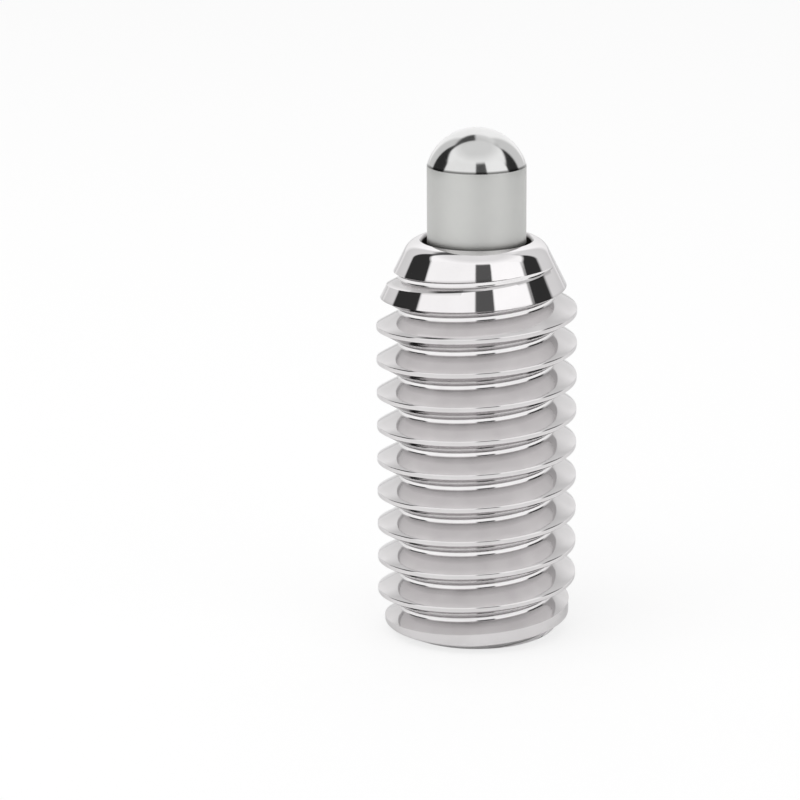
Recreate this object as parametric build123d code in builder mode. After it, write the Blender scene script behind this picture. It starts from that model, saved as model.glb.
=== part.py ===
from build123d import *
import os
from math import ceil, cos, radians, sin, sqrt, tan

# Spring plunger with a long-stroke pin and a hexagon socket, M6 x 1, right-hand thread.
# Three pieces share one axis: a turned sleeve threaded on the outside, a turned pin that
# slides in its blind bore, and a compression spring behind the pin's collar.
# Millimetres. The origin is the centre of the sleeve's rear face, and +Z runs to the pin's nose.

# ---- Driving dimensions -------------------------------------------------------------------

# Outside thread
thread_major_d = 5.86  # over the crests
thread_pitch = 1.0
thread_flank_angle = 30.0  # each flank, from square to the axis
thread_depth = 3 / 4 * sqrt(3) / 2 * thread_pitch  # three quarters of the sharp V's height
thread_crest_flat = thread_pitch / 8
thread_start_angle = 90.0  # where the groove starts, about the axis from +X
thread_start_z = -1.55  # middle of the groove there, clear of the rear face

# Sleeve
sleeve_length = 11.8
rear_face_d = 4.4  # flat land inside the rear chamfer
rear_chamfer_angle = 65.0  # from the axis
low_crest_d = 5.46  # over the last turn at the rear, where the rolled crest isn't filled
low_crest_height = 0.85  # from the rear face to where the crest starts to grow
low_crest_angle = 35.0  # of that growth, from the axis
nose_angle = 26.5  # nose cone, from the axis
mouth_clearance = 0.14  # radial, round the pin
mouth_chamfer = 0.09
lip_wall = 0.36  # radial, from the mouth to where the nose cone would meet the front plane
nose_roll_height = 0.33  # axial, of the lip's round outside, which is rolled in over the pin
lip_length = 0.55  # straight hole in the rolled lip
bore_d = 3.8
web = 0.9  # metal between the socket's floor and the bore's floor

# Hexagon socket
key_across_flats = 3.0
countersink_d = 3.96
countersink_angle = 45.0
socket_wall_depth = 1.4  # from the rear face to where the floor starts at the corners
socket_floor_d = 2.08  # flat disc in the middle of the floor
socket_floor_angle = 60.0  # floor cone, from the axis

# Pin
pin_d = 2.88
pin_protrusion = 3.25
dome_height = 1.08
relief_depth = 0.16  # radial, of the neck where grinding of the shank ends
relief_below_mouth = 0.12  # from the sleeve's front plane down to the ground shank's end
collar_clearance = 0.03  # radial, in the bore
shoulder_gap = 0.02  # axial, from the collar to the rolled lip
collar_length = 1.3
spigot_clearance = 0.1  # radial, inside the spring
spigot_length = 1.4
spigot_chamfer = 0.25

# Spring
wire_d = 0.45
wire_sides = 6  # the round wire is a six-sided section, which keeps its facets few
spring_clearance = 0.15  # radial, in the bore
spring_seat_gap = 0.02  # axial, at each ground end
closed_coils = 1  # at each end
closed_coil_gap = 0.02  # axial, between a closed coil and the next
active_coils = 4.5

# ---- Sizes that follow --------------------------------------------------------------------

major_r = thread_major_d / 2
pin_r = pin_d / 2
mouth_r = pin_r + mouth_clearance
nose_tip_r = mouth_r + lip_wall
nose_roll_start_r = nose_tip_r + nose_roll_height * tan(radians(nose_angle))
bore_r = bore_d / 2

key_corner_r = key_across_flats / sqrt(3)
key_flat_r = key_across_flats / 2
countersink_depth = (countersink_d / 2 - key_flat_r) / tan(radians(countersink_angle))
socket_floor_height = (key_corner_r - socket_floor_d / 2) / tan(radians(socket_floor_angle))
socket_depth = socket_wall_depth + socket_floor_height

bore_floor_z = socket_depth + web
seat_top_z = sleeve_length - lip_length
seat_bottom_z = seat_top_z - (bore_r - mouth_r)  # the lip's underside is a 45 degree cone

collar_r = bore_r - collar_clearance
collar_front_z = seat_bottom_z + (bore_r - collar_r) - shoulder_gap
collar_rear_z = collar_front_z - collar_length
relief_r = pin_r - relief_depth
relief_start_z = collar_front_z + (collar_r - relief_r)
shank_start_z = sleeve_length - relief_below_mouth
pin_tip_z = sleeve_length + pin_protrusion
dome_radius = (pin_r**2 + dome_height**2) / (2 * dome_height)

coil_r = bore_r - spring_clearance - wire_d / 2
spigot_r = coil_r - wire_d / 2 - spigot_clearance
spring_bottom_z = bore_floor_z + spring_seat_gap
spring_top_z = collar_rear_z - spring_seat_gap
closed_pitch = wire_d + closed_coil_gap
closed_height = closed_coils * closed_pitch
active_height = spring_top_z - spring_bottom_z - 2 * closed_height

# ---- Thread groove ------------------------------------------------------------------------

# One V-shaped tool with a flat point follows the helix, a turn at a time, from below the rear
# face to above the nose. Its flanks run on past the crests by half the crest's width, so they
# cross them cleanly and one turn's cut stays clear of the next.
groove_overrun = thread_crest_flat / 2
groove_half_mouth = (thread_pitch - thread_crest_flat) / 2
groove_half_point = groove_half_mouth - thread_depth * tan(radians(thread_flank_angle))
groove_half_width = groove_half_mouth + groove_overrun * tan(radians(thread_flank_angle))
groove_turns = ceil((sleeve_length - thread_start_z) / thread_pitch) + 1
groove_start = Plane.XY.offset(thread_start_z).rotated((0, 0, thread_start_angle))

with BuildPart() as thread_groove:
    with BuildLine(groove_start) as groove_path:
        for turn in range(groove_turns):
            Helix(
                pitch=thread_pitch,
                height=thread_pitch,
                radius=major_r,
                center=(0, 0, turn * thread_pitch),
            )
    with BuildSketch(
        Plane(groove_start.origin, x_dir=groove_start.x_dir, z_dir=-groove_start.y_dir)
    ):
        with BuildLine():
            Polyline(
                (major_r - thread_depth, groove_half_point),
                (major_r + groove_overrun, groove_half_width),
                (major_r + groove_overrun, -groove_half_width),
                (major_r - thread_depth, -groove_half_point),
                close=True,
            )
        make_face()
    sweep(path=groove_path.wires()[0], is_frenet=True, clean=False)

# ---- Socket punch -------------------------------------------------------------------------

# A hexagonal punch with a blunt conical point, which leaves flat walls and a coned floor.
with BuildPart() as socket_punch:
    with BuildSketch():
        RegularPolygon(radius=key_flat_r, side_count=6, major_radius=False)
    extrude(amount=socket_depth)
    with BuildSketch(Plane.XZ):
        with BuildLine():
            Polyline(
                (0, 0),
                (key_corner_r, 0),
                (key_corner_r, socket_wall_depth),
                (socket_floor_d / 2, socket_depth),
                (0, socket_depth),
                close=True,
            )
        make_face()
    revolve(axis=Axis.Z, mode=Mode.INTERSECT)

# ---- Sleeve -------------------------------------------------------------------------------

# A bar is threaded first. Then the nose and the bore are turned to the outline below, which
# stands clear of the crests along the thread, so the groove runs out on the nose cone. Last
# come the low crest and the chamfer at the rear, and the hexagon.
bar_spare = 2 * thread_pitch
bar_length = bar_spare + groove_turns * thread_pitch + bar_spare
outline_r = major_r + thread_depth / 2
rear_chamfer_height = (low_crest_d - rear_face_d) / 2 / tan(radians(rear_chamfer_angle))
rear_cut_height = low_crest_height + (outline_r - low_crest_d / 2) / tan(radians(low_crest_angle))
nose_cone_length = (outline_r - nose_tip_r) / tan(radians(nose_angle))

with BuildPart() as threaded_sleeve:
    with BuildSketch(Plane.XY.offset(thread_start_z - bar_spare)):
        Circle(major_r)
    extrude(amount=bar_length)
    add(thread_groove.part, mode=Mode.SUBTRACT, clean=False)

    with BuildSketch(Plane.XZ):
        with BuildLine():
            Polyline(
                (mouth_r + mouth_chamfer, sleeve_length),
                (mouth_r, sleeve_length - mouth_chamfer),
                (mouth_r, seat_top_z),
                (bore_r, seat_bottom_z),
                (bore_r, bore_floor_z),
                (0, bore_floor_z),
                (0, 0),
                (outline_r, 0),
                (outline_r, sleeve_length - nose_cone_length),
                (nose_roll_start_r, sleeve_length - nose_roll_height),
            )
            TangentArc(
                (nose_roll_start_r, sleeve_length - nose_roll_height),
                (mouth_r + mouth_chamfer, sleeve_length),
                tangent=(-sin(radians(nose_angle)), cos(radians(nose_angle))),
            )
        make_face()
    revolve(axis=Axis.Z, mode=Mode.INTERSECT)

    with BuildSketch(Plane.XZ):
        with BuildLine():
            Polyline(
                (rear_face_d / 2, 0),
                (outline_r, 0),
                (outline_r, rear_cut_height),
                (low_crest_d / 2, low_crest_height),
                (low_crest_d / 2, rear_chamfer_height),
                close=True,
            )
        make_face()
    revolve(axis=Axis.Z, mode=Mode.SUBTRACT)

    add(socket_punch.part, mode=Mode.SUBTRACT)

    with BuildSketch(Plane.XZ):
        with BuildLine():
            Polyline(
                (0, 0),
                (countersink_d / 2, 0),
                (key_flat_r, countersink_depth),
                (0, countersink_depth),
                close=True,
            )
        make_face()
    revolve(axis=Axis.Z, mode=Mode.SUBTRACT)

# ---- Pin ----------------------------------------------------------------------------------

# The nose is a shallow dome that meets the ground shank at an edge. The shank ends in a relief
# neck just inside the mouth. The collar behind it slides in the bore and stops under the rolled
# lip, and the spigot keeps the spring in the middle.
with BuildPart() as plunger_pin:
    with BuildSketch(Plane.XZ):
        with BuildLine():
            Polyline(
                (0, pin_tip_z),
                (0, collar_rear_z - spigot_length),
                (spigot_r - spigot_chamfer, collar_rear_z - spigot_length),
                (spigot_r, collar_rear_z - spigot_length + spigot_chamfer),
                (spigot_r, collar_rear_z),
                (collar_r, collar_rear_z),
                (collar_r, collar_front_z),
                (relief_r, relief_start_z),
                (relief_r, shank_start_z),
                (pin_r, shank_start_z),
                (pin_r, pin_tip_z - dome_height),
            )
            RadiusArc(
                (pin_r, pin_tip_z - dome_height),
                (0, pin_tip_z),
                -dome_radius,
            )
        make_face()
    revolve(axis=Axis.Z)

# ---- Spring -------------------------------------------------------------------------------

# One wire: a closed coil, the open active coils, and a closed coil. Each stage starts at the
# angle where the one before it ended. Both ends are ground flat.
coil_stages = (
    (spring_bottom_z, closed_height, closed_pitch, 0),
    (spring_bottom_z + closed_height, active_height, active_height / active_coils, closed_coils),
    (spring_top_z - closed_height, closed_height, closed_pitch, closed_coils + active_coils),
)

with BuildPart() as compression_spring:
    with BuildLine() as wire_path:
        for stage_z, stage_height, stage_pitch, turns_before in coil_stages:
            stage = Helix(
                pitch=stage_pitch,
                height=stage_height,
                radius=coil_r,
                center=(0, 0, stage_z),
                mode=Mode.PRIVATE,
            )
            add(stage.rotate(Axis.Z, 360 * turns_before))
    with BuildSketch(Plane.XZ):
        with Locations((coil_r, spring_bottom_z)):
            RegularPolygon(radius=wire_d / 2, side_count=wire_sides)
    sweep(path=wire_path.wires()[0], is_frenet=True)
    split(bisect_by=Plane.XY.offset(spring_bottom_z), keep=Keep.TOP)
    split(bisect_by=Plane.XY.offset(spring_top_z), keep=Keep.BOTTOM)

# ---- Pieces -------------------------------------------------------------------------------

threaded_sleeve.part.label = "threaded_sleeve"
plunger_pin.part.label = "plunger_pin"
compression_spring.part.label = "compression_spring"

os.makedirs("parts", exist_ok=True)
export_step(threaded_sleeve.part, "parts/threaded_sleeve.step")
export_step(plunger_pin.part, "parts/plunger_pin.step")
export_step(compression_spring.part, "parts/compression_spring.step")
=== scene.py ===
import bpy
import numpy as np
from math import acos, cos, pi, radians, sin, sqrt, tan
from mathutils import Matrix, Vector


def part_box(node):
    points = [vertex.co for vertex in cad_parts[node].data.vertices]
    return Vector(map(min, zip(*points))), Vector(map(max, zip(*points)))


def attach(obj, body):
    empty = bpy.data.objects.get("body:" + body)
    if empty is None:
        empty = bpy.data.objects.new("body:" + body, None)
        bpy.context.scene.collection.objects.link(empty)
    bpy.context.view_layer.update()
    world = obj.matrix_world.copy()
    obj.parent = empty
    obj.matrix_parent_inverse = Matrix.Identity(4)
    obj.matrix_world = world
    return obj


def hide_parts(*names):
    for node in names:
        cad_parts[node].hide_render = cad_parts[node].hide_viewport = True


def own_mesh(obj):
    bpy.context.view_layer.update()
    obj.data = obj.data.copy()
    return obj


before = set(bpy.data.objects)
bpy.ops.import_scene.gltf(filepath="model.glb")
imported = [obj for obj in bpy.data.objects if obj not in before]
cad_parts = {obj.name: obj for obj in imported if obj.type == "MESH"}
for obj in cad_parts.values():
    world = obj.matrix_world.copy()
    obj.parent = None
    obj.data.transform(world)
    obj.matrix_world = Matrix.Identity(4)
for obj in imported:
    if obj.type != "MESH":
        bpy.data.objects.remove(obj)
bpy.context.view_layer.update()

# ---- Threaded sleeve ----------------------------------------------------------------------
# One piece of bright stainless steel, 11.8 mm long, with a rolled M6 x 1 thread that runs out
# on a long nose cone and stays low over its last turn, above the rear chamfer. A key turns it
# by the hexagon in its rear end, and its lip is rolled in over the pin.

mm = 0.001
crest_r = 2.93 * mm
pitch = 1.0 * mm
groove_depth = 3 / 4 * sqrt(3) / 2 * pitch
crest_flat = pitch / 8
flank = radians(30)
groove_start_z = -1.55 * mm
groove_start_angle = radians(90)
root_radius = 0.06 * mm
crest_radius = 0.04 * mm

sleeve_length = 11.8 * mm
rear_face_r = 2.2 * mm
rear_face_edge_radius = 0.05 * mm
rear_chamfer_slope = tan(radians(65))
rear_chamfer_edge_radius = 0.07 * mm
low_crest_r = 2.73 * mm
low_crest_top_z = 0.85 * mm
low_crest_slope = tan(radians(35))
low_crest_edge_radius = 0.1 * mm
nose_angle = radians(26.5)
nose_tip_r = 1.94 * mm
nose_roll_height = 0.33 * mm
nose_roll_fullness = 0.97  # of the radius that would carry the arc through both its ends
mouth_r = 1.58 * mm
mouth_chamfer = 0.09 * mm
mouth_edge_radius = 0.02 * mm
lip_length = 0.55 * mm
bore_r = 1.9 * mm
bore_floor_z = 2.6996 * mm
bore_floor_ring_r = 0.4 * bore_r

hexagon_flat_r = 1.5 * mm
hexagon_corner_r = hexagon_flat_r / sin(radians(60))
countersink_r = 1.98 * mm
socket_wall_depth = 1.4 * mm
socket_floor_r = 1.04 * mm
socket_floor_slope = tan(radians(60))

sleeve_columns = 240
threads_cut = 14


def rounded(corners, radii, steps, spans):
    """A line of straight runs with its corners rounded. At a corner that turns by an angle a,
    the arc of radius R starts R tan(a / 2) before the corner and ends as far after it, and it
    is cut into as many steps as asked. Each run between arcs is cut into its own spans."""
    corners = np.asarray(corners, float)
    arcs = [corners[:1]]
    for before, here, after, radius in zip(corners, corners[1:], corners[2:], radii):
        into = (here - before) / np.linalg.norm(here - before)
        out = (after - here) / np.linalg.norm(after - here)
        turn = acos(np.clip(into @ out, -1, 1))
        side = np.sign(into[0] * out[1] - into[1] * out[0])
        square = side * np.array([-into[1], into[0]])
        start = here - into * radius * tan(turn / 2)
        swing = np.linspace(0, turn, steps + 1)[:, None] if radius else np.zeros((1, 1))
        arcs.append(start + radius * (into * np.sin(swing) + square * (1 - np.cos(swing))))
    arcs.append(corners[-1:])
    line = [arcs[0]]
    for previous, following, count in zip(arcs, arcs[1:], spans):
        share = np.linspace(0, 1, count + 1)[1:-1, None]
        line += [previous[-1:] * (1 - share) + following[:1] * share, following]
    return np.concatenate(line)


def skin(rings):
    """Two triangles for each pair of neighbours on each pair of rings, in the order that turns
    the outside outwards: round the axis first, then from one ring to the next."""
    rings = np.asarray(rings)
    here, beside = rings, np.roll(rings, -1, axis=1)
    first = np.stack([here[:-1], beside[:-1], beside[1:]], -1).reshape(-1, 3)
    second = np.stack([here[:-1], beside[1:], here[1:]], -1).reshape(-1, 3)
    return np.concatenate([first, second])


def piece(name, points, triangles, edge_angle, marks=None):
    """A smooth mesh from points and triangles. Triangles that have shrunk to a line are left
    out, and an edge is sharp where its two faces meet at more than the angle given. Each mark
    is a number for each point, which the materials read by its name."""
    a, b, c = triangles.T
    triangles = triangles[(a != b) & (b != c) & (c != a)]
    used, numbers = np.unique(triangles, return_inverse=True)
    mesh = bpy.data.meshes.new(name)
    mesh.vertices.add(len(used))
    mesh.vertices.foreach_set("co", points[used].astype(np.float32).ravel())
    mesh.loops.add(numbers.size)
    mesh.loops.foreach_set("vertex_index", numbers.astype(np.int32).ravel())
    mesh.polygons.add(len(triangles))
    mesh.polygons.foreach_set("loop_start", np.arange(0, numbers.size, 3, dtype=np.int32))
    mesh.update(calc_edges=True)
    mesh.validate()
    mesh.shade_smooth()
    mesh.set_sharp_from_angle(angle=edge_angle)
    for mark, values in (marks or {}).items():
        attribute = mesh.attributes.new(mark, "FLOAT", "POINT")
        attribute.data.foreach_set("value", values[used].astype(np.float32))
    obj = bpy.data.objects.new(name, mesh)
    bpy.context.scene.collection.objects.link(obj)
    return obj


# The thread's section over one pitch, from the middle of a groove to the middle of the next.
root_r = crest_r - groove_depth
groove_half_mouth = (pitch - crest_flat) / 2
groove_half_floor = groove_half_mouth - groove_depth * tan(flank)
section = rounded(
    [
        (0, root_r),
        (groove_half_floor, root_r),
        (groove_half_mouth, crest_r),
        (pitch - groove_half_mouth, crest_r),
        (pitch - groove_half_floor, root_r),
        (pitch, root_r),
    ],
    radii=(root_radius, crest_radius, crest_radius, root_radius),
    steps=4,
    spans=(2, 4, 2, 4, 2),
)[:-1]
section_rows = len(section)

column_angle = np.linspace(0, 2 * pi, sleeve_columns, endpoint=False)
column_lift = groove_start_z + pitch * (column_angle - groove_start_angle) / (2 * pi)
nose_start_z = sleeve_length - (crest_r - nose_tip_r) / tan(nose_angle)
rear_chamfer_top_z = (low_crest_r - rear_face_r) / rear_chamfer_slope
rear_outline = rounded(
    [
        (rear_face_r, 0),
        (low_crest_r, rear_chamfer_top_z),
        (low_crest_r, low_crest_top_z),
        (low_crest_r + 2 * groove_depth * low_crest_slope, low_crest_top_z + 2 * groove_depth),
    ],
    radii=(rear_chamfer_edge_radius, low_crest_edge_radius),
    steps=5,
    spans=(1, 1, 1),
)


def turned(z):
    """The lesser of two radii: the rear outline's at the height, and the nose cone's, which
    shrinks from the crest's by the tangent of its angle times the height above its start."""
    cone_r = crest_r - (z - nose_start_z) * tan(nose_angle)
    return np.minimum(np.interp(z, rear_outline[:, 1], rear_outline[:, 0]), cone_r)


# Rows follow the helix: a row's height is its place in the section, a pitch for each thread
# below it, and its column's lift. Level rows at the rear outline's corners are sorted in.
spiral_rows = (np.arange(threads_cut)[:, None] * pitch + section[:, 0]).reshape(-1, 1) + column_lift
level_rows = np.tile(rear_outline[1:-1, 1:], sleeve_columns)
height = np.concatenate([spiral_rows, level_rows])
order = np.argsort(height, axis=0, kind="stable")
height = np.take_along_axis(height, order, 0)
level = order >= len(spiral_rows)
closed_section = np.vstack([section, (pitch, section[0, 1])])
thread_r = np.interp((height - column_lift) % pitch, *closed_section.T)

# Where the thread meets a turned face between two rows, one of them moves onto the meeting:
# the nearer one, unless it is level.
over = thread_r - turned(height)
meets = (over[:-1] > 0) != (over[1:] > 0)
way_up = np.where(meets, over[:-1] / np.where(meets, over[:-1] - over[1:], 1), 0)
met_height = height[:-1] * (1 - way_up) + height[1:] * way_up
lower_moves = ~level[:-1] & ((way_up < 0.5) | level[1:])
moves_up = np.zeros_like(over, bool)
moves_up[:-1] = meets & lower_moves
moves_down = np.zeros_like(over, bool)
moves_down[1:] = meets & ~lower_moves
on_edge = moves_up | moves_down
height = np.where(moves_up, np.vstack([met_height, height[-1:]]), height)
height = np.where(moves_down & ~moves_up, np.vstack([height[:1], met_height]), height)
radius = np.where(on_edge, turned(height), np.minimum(thread_r, turned(height)))

# Near both ends the sleeve is plain turned metal, and the thread's rows end level there: a
# little below the height where the rear chamfer is as narrow as the groove's floor, and a
# little above the height where the nose cone is.
plain_below_share = 0.9
plain_above_share = 1.015
plain_below = plain_below_share * (root_r - rear_face_r) / rear_chamfer_slope
plain_above = nose_start_z + plain_above_share * groove_depth / tan(nose_angle)
first_row = (height <= plain_below).sum(0) - 1
last_row = (height < plain_above).sum(0)
columns = np.arange(sleeve_columns)
height[first_row, columns] = plain_below
height[last_row, columns] = plain_above
radius[first_row, columns] = turned(plain_below)
radius[last_row, columns] = turned(plain_above)
point_number = np.arange(height.size).reshape(height.shape)
kept_row = np.clip(np.arange(len(height))[:, None], first_row, last_row)
point_number = point_number[kept_row, columns]

# Beyond the last column comes the first one again, a whole pitch of rows further on. Each
# four-sided face is cut along the line where the thread meets a turned face, if it has one.
first_column = np.append(
    point_number[section_rows:, 0], np.repeat(point_number[-1, 0], section_rows)
)
next_column = np.column_stack([point_number[:, 1:], first_column])
edge_point = np.zeros(height.size, bool)
edge_point[point_number[np.take_along_axis(on_edge, kept_row, 0)]] = True
quad = [point_number[:-1], next_column[:-1], next_column[1:], point_number[1:]]
cut_along_edge = (edge_point[quad[1]] & edge_point[quad[3]])[..., None]
thread_faces = np.concatenate(
    [
        np.where(cut_along_edge, np.stack(quad[:2] + quad[3:], -1), np.stack(quad[:3], -1)),
        np.where(cut_along_edge, np.stack(quad[1:], -1), np.stack(quad[:1] + quad[2:], -1)),
    ]
).reshape(-1, 3)

# The socket, from the middle of its floor out to the rear face. Each column of the hexagon
# lies at the flat's distance divided by the cosine of the angle from the flat's middle.
hexagon_r = hexagon_flat_r / np.cos((column_angle % radians(60)) - radians(30))
hexagon_floor_z = socket_wall_depth + (hexagon_corner_r - hexagon_r) / socket_floor_slope
socket_floor_z = socket_wall_depth + (hexagon_corner_r - socket_floor_r) / socket_floor_slope
even = np.ones(sleeve_columns)
rear_edge = rounded(
    [(countersink_r, 0), (rear_face_r, 0), (turned(plain_below), plain_below)],
    radii=(rear_face_edge_radius,),
    steps=4,
    spans=(1, 1),
)[:-1]
rear_rings = [
    (socket_floor_r * even, socket_floor_z * even),
    ((socket_floor_r + hexagon_r) / 2, (socket_floor_z + hexagon_floor_z) / 2),
    (hexagon_r, hexagon_floor_z),
    (hexagon_r, countersink_r - hexagon_r),
] + [(r * even, z * even) for r, z in rear_edge]

# The nose, from the cone over the rolled lip, through the mouth and down the bore. The lip's
# outside is an arc that leaves the cone along its line and ends at the mouth's chamfer: its
# radius is half its chord, divided by the sine of half its turn.
roll_start_z = sleeve_length - nose_roll_height
roll_start = np.array([nose_tip_r + nose_roll_height * tan(nose_angle), roll_start_z])
roll_end = np.array([mouth_r + mouth_chamfer, sleeve_length])
chord = np.linalg.norm(roll_end - roll_start)
up_the_cone = np.array([-sin(nose_angle), cos(nose_angle)])
half_turn = acos(up_the_cone @ (roll_end - roll_start) / chord)
roll_radius = chord / (2 * sin(half_turn))
roll_corner = roll_start + up_the_cone * roll_radius * tan(half_turn)
seat_bottom_z = sleeve_length - lip_length - (bore_r - mouth_r)
nose_outline = rounded(
    [
        (turned(plain_above), plain_above),
        roll_corner,
        roll_end,
        (mouth_r, sleeve_length - mouth_chamfer),
        (mouth_r, sleeve_length - lip_length),
        (bore_r, seat_bottom_z),
        (bore_r, bore_floor_z),
        (bore_floor_ring_r, bore_floor_z),
    ],
    radii=(nose_roll_fullness * roll_radius, mouth_edge_radius, mouth_edge_radius, 0, 0, 0),
    steps=10,
    spans=(2, 1, 1, 3, 2, 8, 3),
)[1:]
nose_rings = [(r * even, z * even) for r, z in nose_outline]


def placed(r, z):
    """Points at a distance r from the axis, at each column's angle, at the height z."""
    x, y = r * np.cos(column_angle), r * np.sin(column_angle)
    return np.stack([x, y, z + 0 * column_angle], -1).reshape(-1, 3)


plain_points = np.concatenate([placed(r, z) for r, z in rear_rings + nose_rings])
floor_middles = np.array([[0, 0, socket_floor_z], [0, 0, bore_floor_z]])
sleeve_points = np.concatenate([placed(radius, height), plain_points, floor_middles])
plain_rings = height.size + np.arange(len(plain_points)).reshape(-1, sleeve_columns)
socket_middle = height.size + len(plain_points)
bore_middle = socket_middle + 1
rear_faces = skin(
    np.vstack(
        [
            np.full(sleeve_columns, socket_middle),
            plain_rings[: len(rear_rings)],
            point_number[first_row, columns],
        ]
    )
)
nose_faces = skin(
    np.vstack(
        [
            point_number[last_row, columns],
            plain_rings[len(rear_rings) :],
            np.full(sleeve_columns, bore_middle),
        ]
    )
)
sleeve_faces = np.concatenate([rear_faces, thread_faces, nose_faces])

# Painted light and shade on the thread: the groove's floor, burnished by rolling, and the crest's
# upper edge are painted bright as painted highlights, a painted shade line lies in the crease at
# the foot of the face above the groove, and painted shade darkens the face below towards the
# groove. The value is 1 where the painted light is brightest, by the place in the section, from
# the middle of one groove to the next.
painted_light_table = (
    (0, 0.9), (0.04, 0.9), (0.065, 0.1), (0.08, 0.2), (0.11, 0.66), (0.40, 0.72), (0.44, 0.66),
    (0.47, 0.56), (0.54, 0.56), (0.56, 0.95), (0.58, 0.66), (0.72, 0.58), (0.86, 0.48),
    (0.925, 0.42), (0.955, 0.9), (1, 0.9),
)
low_crest_shine = 0.6
least_depth = 1e-7  # in metres: a groove that is any shallower counts as turned metal
low_crest = height < low_crest_top_z + (crest_r - low_crest_r) / low_crest_slope
in_groove = thread_r < turned(height) - least_depth
rolled = np.zeros(len(sleeve_points))
rolled[: height.size] = (in_groove | low_crest).ravel()
place_in_section = ((height - column_lift) % pitch) / pitch
section_painted_light = np.interp(place_in_section, *np.transpose(painted_light_table))
painted_light = np.ones(len(sleeve_points))
painted_light[: height.size] = np.where(low_crest & ~in_groove, low_crest_shine, section_painted_light).ravel()

# The hole is painted dark as painted shade, and is rougher, from just inside the outer edge of the
# mouth's chamfer, down the bore to half the sleeve's length.
dull_r = mouth_r + 0.9 * mouth_chamfer
in_upper_half = plain_points[:, 2] > sleeve_length / 2
inside_mouth = np.hypot(plain_points[:, 0], plain_points[:, 1]) < dull_r
below_lip = plain_points[:, 2] < sleeve_length - lip_length
in_mouth = np.zeros(len(sleeve_points))
in_mouth[height.size : socket_middle] = in_upper_half & (inside_mouth | below_lip)
sleeve = piece(
    "sleeve_body",
    sleeve_points,
    sleeve_faces,
    edge_angle=radians(20),
    marks={"rolled": rolled, "painted_light": painted_light, "in_mouth": in_mouth},
)


def node(tree, kind, **settings):
    """A shader node with its own settings, each given by its name."""
    made = tree.nodes.new(kind)
    for name, value in settings.items():
        setattr(made, name, value)
    return made


def feed(tree, value, socket):
    """A number or a colour onto the socket itself, or a link to it from an output."""
    if isinstance(value, (int, float)):
        socket.default_value = value
    elif isinstance(value, tuple):
        socket.default_value = (*value, 1)
    else:
        tree.links.new(value, socket)


def figure(tree, operation, *values):
    """The output of a Math node that works on numbers and sockets."""
    made = node(tree, "ShaderNodeMath", operation=operation)
    for socket, value in zip(made.inputs, values):
        feed(tree, value, socket)
    return made.outputs[0]


def ramp(tree, factor, stops):
    """A Color Ramp through the stops, each a place from 0 to 1 and a grey or a colour."""
    made = node(tree, "ShaderNodeValToRGB")
    elements = made.color_ramp.elements
    while len(elements) < len(stops):
        elements.new(0.5)
    for element, (place, colour) in zip(elements, stops):
        element.position = place
        grey = isinstance(colour, (int, float))
        element.color = (colour, colour, colour, 1) if grey else (*colour, 1)
    feed(tree, factor, made.inputs[0])
    return made.outputs[0]


def noise(tree, place, scale, detail, roughness=0.5):
    """A Noise Texture's value at a place: layers of waves, each finer and fainter than the
    last by the roughness."""
    made = node(tree, "ShaderNodeTexNoise")
    feed(tree, place, made.inputs["Vector"])
    feed(tree, scale, made.inputs["Scale"])
    feed(tree, detail, made.inputs["Detail"])
    feed(tree, roughness, made.inputs["Roughness"])
    return made.outputs[0]


# Turning and rolling leave fine rings round the axis, faint blotches and a few light scuffs.
# The rings are a noise on the distance from the axis and the height, each divided by the
# rings' size. The blotches and scuffs are noises on the place divided by the blotches' size.
worked = bpy.data.node_groups.new("worked_metal", "ShaderNodeTree")
for name, kind in (
    ("Vector", "NodeSocketVector"),
    ("Ring size", "NodeSocketFloat"),
    ("Blotch size", "NodeSocketFloat"),
):
    worked.interface.new_socket(name, in_out="INPUT", socket_type=kind)
for name in ("Rings", "Blotches", "Scuffs"):
    worked.interface.new_socket(name, in_out="OUTPUT", socket_type="NodeSocketFloat")
inside = node(worked, "NodeGroupInput")
outside = node(worked, "NodeGroupOutput")
split = node(worked, "ShaderNodeSeparateXYZ")
feed(worked, inside.outputs["Vector"], split.inputs[0])
x, y, z = split.outputs
squares = figure(
    worked, "ADD", figure(worked, "MULTIPLY", x, x), figure(worked, "MULTIPLY", y, y)
)
from_axis = figure(worked, "SQRT", squares)
ring_place = node(worked, "ShaderNodeCombineXYZ")
for distance, socket in zip((from_axis, z), ring_place.inputs):
    feed(worked, figure(worked, "DIVIDE", distance, inside.outputs["Ring size"]), socket)
shrink = node(worked, "ShaderNodeVectorMath", operation="SCALE")
feed(worked, inside.outputs["Vector"], shrink.inputs[0])
feed(worked, figure(worked, "DIVIDE", 1, inside.outputs["Blotch size"]), shrink.inputs["Scale"])
scuff_noise = noise(worked, shrink.outputs[0], scale=5, detail=6, roughness=0.7)
for name, value in (
    ("Rings", noise(worked, ring_place.outputs[0], scale=1, detail=3)),
    ("Blotches", noise(worked, shrink.outputs[0], scale=1, detail=4)),
    ("Scuffs", ramp(worked, scuff_noise, ((0.6, 0), (0.75, 1)))),
):
    feed(worked, value, outside.inputs[name])


def steel(name, ring_size, blotch_size):
    """A new metal material, its tree, its shader, and the outputs of its worked metal."""
    material = bpy.data.materials.new(name)
    material.use_nodes = True
    tree = material.node_tree
    shader = tree.nodes["Principled BSDF"]
    shader.inputs["Metallic"].default_value = 1
    group = node(tree, "ShaderNodeGroup", node_tree=worked)
    feed(tree, ring_size, group.inputs["Ring size"])
    feed(tree, blotch_size, group.inputs["Blotch size"])
    feed(tree, node(tree, "ShaderNodeTexCoord").outputs["Object"], group.inputs["Vector"])
    return material, tree, shader, group.outputs


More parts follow.
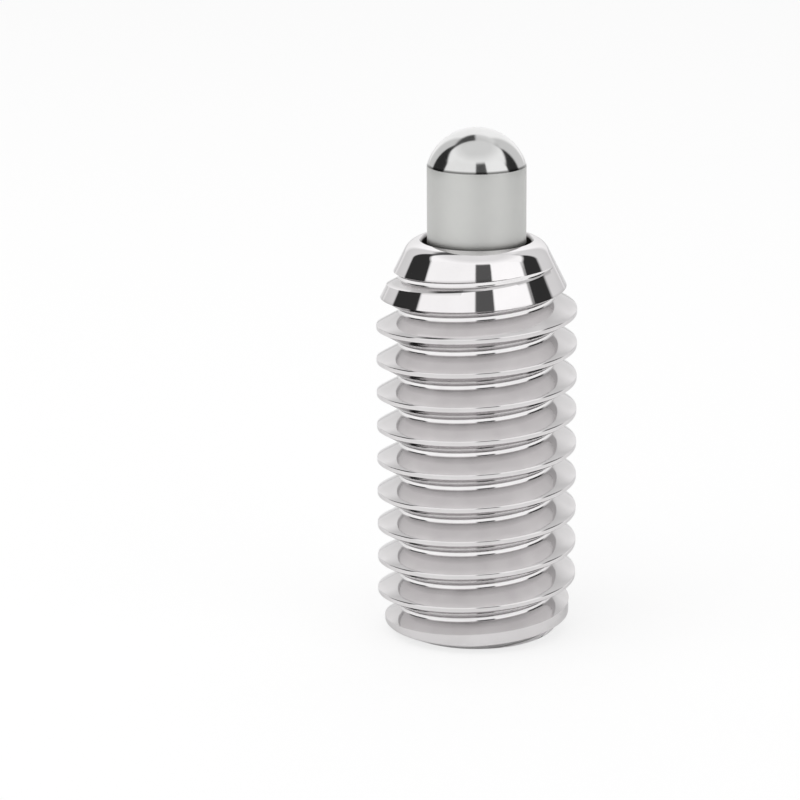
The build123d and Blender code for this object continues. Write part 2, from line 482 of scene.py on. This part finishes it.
def blend(tree, factor, first, second, kind="FLOAT"):
    """A mix of two numbers, or of two colours if its kind is RGBA, sockets or not: the first
    times one less the factor, plus the second times the factor."""
    made = node(tree, "ShaderNodeMix", data_type=kind)
    for name, value in (("Factor", factor), ("A", first), ("B", second)):
        feed(tree, value, made.inputs[name])
    return made.outputs["Result"]


def patchy(tree, surface, first, second):
    """A colour that goes from the first to the second over the blotches' middle range."""
    return ramp(tree, surface["Blotches"], ((0.3, first), (0.7, second)))


def bump(tree, shader, relief, strength, distance):
    """A Bump node on the relief, into the shader's Normal."""
    made = node(tree, "ShaderNodeBump")
    feed(tree, strength, made.inputs["Strength"])
    feed(tree, distance, made.inputs["Distance"])
    feed(tree, relief, made.inputs["Height"])
    feed(tree, made.outputs[0], shader.inputs["Normal"])


# The rolled metal's colour for each level of its painted light and shade, from painted shade at 0
# to painted highlight at 1.
rolled_tones = (
    (0, (0.20, 0.195, 0.195)),
    (0.3, (0.56, 0.547, 0.55)),
    (0.6, (0.705, 0.688, 0.692)),
    (1, (0.93, 0.915, 0.92)),
)
turned_tones = ((0.94, 0.92, 0.927), (0.90, 0.88, 0.887))
turned_roughness = (0.02, 0.06)
rolled_roughness = (0.03, 0.12)
scuff_roughness = 0.04
mottling = 0.25
# Painted shade for the mouth and the bore.
mouth_painted_shade = (0.12, 0.115, 0.11)
mouth_roughness = 0.4
glancing_tint = (0.8, 0.8, 0.8)
bright_steel, tree, shader, surface = steel(
    "bright_stainless_steel", ring_size=0.05 * mm, blotch_size=0.8 * mm
)
on_thread, painted_light_here, mouth_here = (
    node(tree, "ShaderNodeAttribute", attribute_name=name).outputs["Fac"]
    for name in ("rolled", "painted_light", "in_mouth")
)
rough_turned = blend(tree, surface["Blotches"], *turned_roughness)
rough_rolled = blend(tree, surface["Blotches"], *rolled_roughness)
rough = blend(tree, on_thread, rough_turned, rough_rolled)
rough = figure(tree, "ADD", rough, figure(tree, "MULTIPLY", surface["Scuffs"], scuff_roughness))
feed(tree, blend(tree, mouth_here, rough, mouth_roughness), shader.inputs["Roughness"])
patches = figure(tree, "SUBTRACT", surface["Blotches"], 0.5)
patches = figure(tree, "MULTIPLY", patches, mottling)
turned_tone = patchy(tree, surface, *turned_tones)
# The thread's colour carries its painted light and shade, shifted by the random patches.
rolled_tone = ramp(tree, figure(tree, "ADD", painted_light_here, patches), rolled_tones)
tone = blend(tree, on_thread, turned_tone, rolled_tone, "RGBA")
# Painted shade: the mouth and the bore are painted dark.
tone = blend(tree, mouth_here, tone, mouth_painted_shade, "RGBA")
feed(tree, tone, shader.inputs["Base Color"])
feed(tree, glancing_tint, shader.inputs["Specular Tint"])
bump(tree, shader, surface["Rings"], strength=0.025, distance=0.004 * mm)
sleeve.data.materials.append(bright_steel)
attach(sleeve, "sleeve")
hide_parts("threaded_sleeve")

# ---- Plunger pin --------------------------------------------------------------------------
# One turned and hardened steel pin. Its shank is ground to a dull satin, its domed nose is
# polished, and the collar that holds it in the sleeve and the spring's spigot are as turned.

pin_r = 1.44 * mm
dome_radius = 1.5 * mm
pin_tip_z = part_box("plunger_pin")[1].z
spigot_end_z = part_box("plunger_pin")[0].z
relief_r = 1.28 * mm
relief_below_mouth = 0.12 * mm
shank_start_z = sleeve_length - relief_below_mouth
collar_clearance = 0.03 * mm
shoulder_gap = 0.02 * mm
collar_length = 1.3 * mm
collar_r = bore_r - collar_clearance
collar_front_z = seat_bottom_z + collar_clearance - shoulder_gap
collar_rear_z = collar_front_z - collar_length
wire_d = 0.45 * mm
spigot_clearance = 0.1 * mm
spigot_chamfer = 0.25 * mm
spigot_edge_radius = 0.02 * mm
pin_edge_radius = 0.03 * mm
pin_columns = 192
dome_rows = 33


def lathe(name, outline, columns, edge_angle):
    """The surface that an outline of radius and height sweeps round the axis. The outline
    starts and ends on the axis, and each of its ends is one point."""
    outline = np.asarray(outline)
    turn = np.linspace(0, 2 * pi, columns, endpoint=False)
    r, z = outline[1:-1, :1], outline[1:-1, 1:]
    side = np.stack([r * np.cos(turn), r * np.sin(turn), z + 0 * turn], -1).reshape(-1, 3)
    tips = np.array([[0, 0, outline[0, 1]], [0, 0, outline[-1, 1]]])
    rings = np.arange(len(side)).reshape(-1, columns)
    first_tip, last_tip = np.full((1, columns), len(side)), np.full((1, columns), len(side) + 1)
    faces = skin(np.vstack([first_tip, rings, last_tip]))
    return piece(name, np.concatenate([side, tips]), faces, edge_angle)


spigot_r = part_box("compression_spring")[1].x - wire_d - spigot_clearance
dome_edge_z = pin_tip_z - dome_radius + sqrt(dome_radius**2 - pin_r**2)
body = rounded(
    [
        (0, spigot_end_z),
        (spigot_r - spigot_chamfer, spigot_end_z),
        (spigot_r, spigot_end_z + spigot_chamfer),
        (spigot_r, collar_rear_z),
        (collar_r, collar_rear_z),
        (collar_r, collar_front_z),
        (relief_r, collar_front_z + collar_r - relief_r),
        (relief_r, shank_start_z),
        (pin_r, shank_start_z),
        (pin_r, dome_edge_z),
    ],
    radii=2 * (spigot_edge_radius,) + (0,) + 5 * (pin_edge_radius,),
    steps=3,
    spans=(2, 1, 2, 1, 2, 2, 1, 1, 8),
)
# The dome is a part of a ball. It meets the shank at a blunt edge, which is shaded smoothly.
rise = np.linspace(acos(pin_r / dome_radius), pi / 2, dome_rows + 1)[1:]
dome_centre_z = pin_tip_z - dome_radius
dome = np.stack([dome_radius * np.cos(rise), dome_centre_z + dome_radius * np.sin(rise)], -1)
pin = lathe("pin_body", np.concatenate([body, dome]), pin_columns, edge_angle=radians(25))

shank_tones = ((0.64, 0.643, 0.628), (0.665, 0.667, 0.65))
shank_roughness = (0.46, 0.54)
dome_tones = ((0.74, 0.74, 0.735), (0.78, 0.78, 0.775))
dome_roughness = (0.08, 0.13)
pin_steel, tree, shader, surface = steel(
    "ground_pin_steel", ring_size=0.03 * mm, blotch_size=0.6 * mm
)
place_here = node(tree, "ShaderNodeSeparateXYZ")
feed(tree, node(tree, "ShaderNodeTexCoord").outputs["Object"], place_here.inputs[0])
height_here = place_here.outputs["Z"]
on_dome = figure(tree, "GREATER_THAN", height_here, dome_edge_z)
rough_shank = blend(tree, surface["Blotches"], *shank_roughness)
rough_dome = blend(tree, surface["Blotches"], *dome_roughness)
feed(tree, blend(tree, on_dome, rough_shank, rough_dome), shader.inputs["Roughness"])
satin = patchy(tree, surface, *shank_tones)
polish = patchy(tree, surface, *dome_tones)
tone = blend(tree, on_dome, satin, polish, "RGBA")
# A dark line is painted into the colour at the edge where the ground shank meets the polished
# dome. It is a ramp over a short span of height, with the edge at its middle.
line_span = 0.2 * mm
line_stops = ((0.44, 0), (0.52, 0.85), (0.66, 0.85), (0.9, 0))
line_colour = (0.1, 0.1, 0.095)
above_edge = figure(tree, "DIVIDE", figure(tree, "SUBTRACT", height_here, dome_edge_z), line_span)
line_here = ramp(tree, figure(tree, "ADD", above_edge, 0.5), line_stops)
feed(tree, blend(tree, line_here, tone, line_colour, "RGBA"), shader.inputs["Base Color"])
bump(tree, shader, surface["Rings"], strength=0.1, distance=0.003 * mm)
pin.data.materials.append(pin_steel)
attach(pin, "pin")
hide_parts("plunger_pin")

# ---- Compression spring -------------------------------------------------------------------
# Drawn stainless wire of 0.45 mm, coiled right-handed. A closed coil at each end is ground
# flat, and four and a half coils between them work. It hides in the bore behind the pin.

wire_r = wire_d / 2
coil_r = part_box("compression_spring")[1].x - wire_r
spring_low, spring_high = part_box("compression_spring")[0].z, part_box("compression_spring")[1].z
closed_coils = 1
active_coils = 4.5
all_coils = 2 * closed_coils + active_coils
closed_gap = 0.02 * mm
closed_height = closed_coils * (wire_d + closed_gap)
steps_a_turn = 48
wire_sides = 20

# The wire's middle winds round the axis and climbs slowly, then fast, then slowly. Its round
# section stands upright in the plane through the axis, and is cut off level at both ends.
turns = np.linspace(0, all_coils, int(all_coils * steps_a_turn) + 1)
climb = np.interp(
    turns,
    (0, closed_coils, closed_coils + active_coils, all_coils),
    (spring_low, spring_low + closed_height, spring_high - closed_height, spring_high),
)
around = np.linspace(0, 2 * pi, wire_sides, endpoint=False)
coil = 2 * pi * turns[:, None]
swept_r = coil_r + wire_r * np.cos(around)
swept_z = np.clip(climb[:, None] + wire_r * np.sin(around), spring_low, spring_high)
coil_points = np.stack([swept_r * np.cos(coil), swept_r * np.sin(coil), swept_z], -1)
coil_points = coil_points.reshape(-1, 3)
end_coil = coil[[0, -1], 0]
end_points = [coil_r * np.cos(end_coil), coil_r * np.sin(end_coil), climb[[0, -1]]]
wire_points = np.concatenate([coil_points, np.stack(end_points, -1)])
wire_rings = np.arange(len(coil_points)).reshape(-1, wire_sides)
first_end = np.full((1, wire_sides), len(coil_points))
wire_faces = skin(np.vstack([first_end, wire_rings, first_end + 1]))[:, ::-1]
spring = piece("spring_wire_coil", wire_points, wire_faces, edge_angle=radians(35))

wire_tones = ((0.56, 0.56, 0.57), (0.66, 0.66, 0.66))
wire_roughness = (0.2, 0.34)
wire_steel, tree, shader, surface = steel(
    "drawn_spring_wire", ring_size=0.02 * mm, blotch_size=0.5 * mm
)
feed(tree, blend(tree, surface["Blotches"], *wire_roughness), shader.inputs["Roughness"])
feed(tree, patchy(tree, surface, *wire_tones), shader.inputs["Base Color"])
bump(tree, shader, surface["Scuffs"], strength=0.1, distance=0.003 * mm)
spring.data.materials.append(wire_steel)
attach(spring, "sleeve")
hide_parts("compression_spring")
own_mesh(spring)

# ---- Carried-over solids ------------------------------------------------------------------
# The plain solids of the same three pieces stay where and as they are. The finished pieces
# above stand in for them, and each solid carries the metal of its own piece.

for name, material in (
    ("threaded_sleeve", bright_steel),
    ("plunger_pin", pin_steel),
    ("compression_spring", wire_steel),
):
    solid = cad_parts[name]
    solid.data.materials.clear()
    solid.data.materials.append(material)

# ---- Studio -------------------------------------------------------------------------------
# A white floor that runs out of sight, in a pale tent with a dark flag at each side and one in
# front. The ceiling is a white panel with a dark slit behind it. One broad soft lamp overhead
# gives the floor its faint shadow.

half_floor = 1.5
floor_corners = half_floor * np.array([(-1, -1, 0), (1, -1, 0), (1, 1, 0), (-1, 1, 0)])
floor_mesh = bpy.data.meshes.new("floor")
floor_mesh.from_pydata(floor_corners.tolist(), [], [(0, 1, 2, 3)])
floor = bpy.data.objects.new("floor", floor_mesh)
bpy.context.scene.collection.objects.link(floor)

# The floor is white paper under the lamp. To the camera it is also three quarters glow, which
# carries it on into the white behind it, and to the metal's reflections a tenth.
glow_to_camera = 0.75
glow_to_metal = 0.1
paper = bpy.data.materials.new("white_paper")
paper.use_nodes = True
tree = paper.node_tree
shader = tree.nodes["Principled BSDF"]
for name, value in (
    ("Base Color", (0.95, 0.95, 0.95)),
    ("Roughness", 1),
    ("Specular IOR Level", 0),
):
    feed(tree, value, shader.inputs[name])
glow = node(tree, "ShaderNodeEmission")
feed(tree, (1, 1, 1), glow.inputs["Color"])
rays = node(tree, "ShaderNodeLightPath").outputs
seen = figure(tree, "MULTIPLY", rays["Is Camera Ray"], glow_to_camera)
mirrored = figure(tree, "MULTIPLY", rays["Is Glossy Ray"], glow_to_metal)
paper_and_glow = node(tree, "ShaderNodeMixShader")
feed(tree, figure(tree, "ADD", seen, mirrored), paper_and_glow.inputs[0])
feed(tree, shader.outputs[0], paper_and_glow.inputs[1])
feed(tree, glow.outputs[0], paper_and_glow.inputs[2])
feed(tree, paper_and_glow.outputs[0], tree.nodes["Material Output"].inputs[0])
floor_mesh.materials.append(paper)

world = bpy.data.worlds.new("tent")
bpy.context.scene.world = world
world.use_nodes = True
tree = world.node_tree
tree.nodes.clear()
towards = node(tree, "ShaderNodeSeparateXYZ")
feed(tree, node(tree, "ShaderNodeTexCoord").outputs["Generated"], towards.inputs[0])
east, north, up = towards.outputs
# The bearing is 0.5 towards the front, 0.25 to the left and 0.75 to the right. The elevation
# is 0 at the horizon and 1 straight up.
south = figure(tree, "MULTIPLY", north, -1)
bearing = figure(tree, "DIVIDE", figure(tree, "ARCTAN2", east, south), 2 * pi)
bearing = figure(tree, "ADD", bearing, 0.5)
elevation = figure(tree, "DIVIDE", figure(tree, "ARCSINE", up), pi / 2)


def at(degrees):
    """The ramp's place of a bearing in degrees, from -180 to 180 and 0 towards the front."""
    return degrees / 360 + 0.5


def raised(degrees):
    """The elevation of an angle in degrees above the horizon."""
    return degrees / 90


walls = ramp(
    tree,
    bearing,
    (
        (at(-180), 1.05), (at(-154), 1.05), (at(-145), 0.7), (at(-124), 0.7), (at(-121), 0.03),
        (at(-84), 0.03), (at(-81), 0.97), (at(-3), 0.97), (at(-1), 0.09), (at(24), 0.09),
        (at(26), 1.05), (at(78), 1.05), (at(81), 0.03), (at(111), 0.03), (at(116), 0.7),
        (at(145), 0.7), (at(154), 1.05), (at(180), 1.05),
    ),
)
# The walls end at a soft edge, which is lowest a little in front of the sides, and higher in
# front and behind. Each stop's place is 0 towards the front, 0.5 at the sides and 1 behind.
edge_softness = 7
top_edge = ramp(
    tree,
    figure(tree, "ADD", figure(tree, "MULTIPLY", north, 0.5), 0.5),
    (
        (0, raised(46)), (0.32, raised(46)), (0.44, raised(29)), (0.6, raised(46)),
        (0.7, raised(52)), (1, raised(52)),
    ),
)
over_edge = figure(
    tree, "MULTIPLY", figure(tree, "SUBTRACT", elevation, top_edge), 90 / edge_softness
)
on_ceiling = ramp(tree, figure(tree, "ADD", over_edge, 0.5), ((0, 0), (1, 1)))
# Behind, the ceiling's panel stops short of the wall and leaves a dark slit, open at the left.
# The slit's place is how far it lies behind, divided by how far up.
slit_place = figure(tree, "DIVIDE", north, figure(tree, "MAXIMUM", up, 0.01))
slit = ramp(
    tree, slit_place, ((0, 0), (0.24, 0), (0.32, 0.9), (0.75, 0.9), (0.95, 0.22), (1, 0.22))
)
open_at_left = ramp(
    tree,
    figure(tree, "ADD", east, 0.5),
    ((0, 1), (0.44, 1), (0.50, 0.1), (0.9, 0.1), (1, 0.4)),
)
covered = figure(tree, "SUBTRACT", 1, figure(tree, "MULTIPLY", slit, open_at_left))
panel_tone = ramp(tree, up, ((0, 1), (0.75, 1), (0.92, 0.78), (1, 0.78)))
panel = node(tree, "ShaderNodeCombineColor")
for socket in panel.inputs:
    feed(tree, figure(tree, "MULTIPLY", covered, panel_tone), socket)
background = node(tree, "ShaderNodeBackground")
tent = blend(tree, on_ceiling, walls, panel.outputs[0], "RGBA")
feed(tree, tent, background.inputs["Color"])
feed(tree, background.outputs[0], node(tree, "ShaderNodeOutputWorld").inputs[0])

lamp = bpy.data.objects.new("soft_lamp", bpy.data.lights.new("soft_lamp", "AREA"))
lamp.data.shape = "DISK"
lamp.data.size = 0.2
lamp.data.energy = 0.13
lamp.location = (-0.04, -0.02, 0.17)
lamp_aim = Vector((0, 0, 0.006))
lamp.rotation_euler = (lamp_aim - lamp.location).to_track_quat("-Z", "Y").to_euler()
lamp.visible_glossy = False
bpy.context.scene.collection.objects.link(lamp)

camera = bpy.data.objects.new("camera", bpy.data.cameras.new("camera"))
camera.data.sensor_width = 36
camera.data.lens = 153.4
camera.data.clip_start = 0.005
camera.data.clip_end = 10
camera.data.shift_x = -0.0958
look_at = Vector((0, 0, 6.952 * mm))
camera_distance = 100 * mm
camera_elevation = radians(15.14)
towards_camera = Vector((0, -cos(camera_elevation), sin(camera_elevation)))
camera.location = look_at + camera_distance * towards_camera
camera.rotation_euler = (pi / 2 - camera_elevation, 0, 0)
bpy.context.scene.collection.objects.link(camera)
bpy.context.scene.camera = camera

bpy.context.scene.view_settings.view_transform = "Standard"
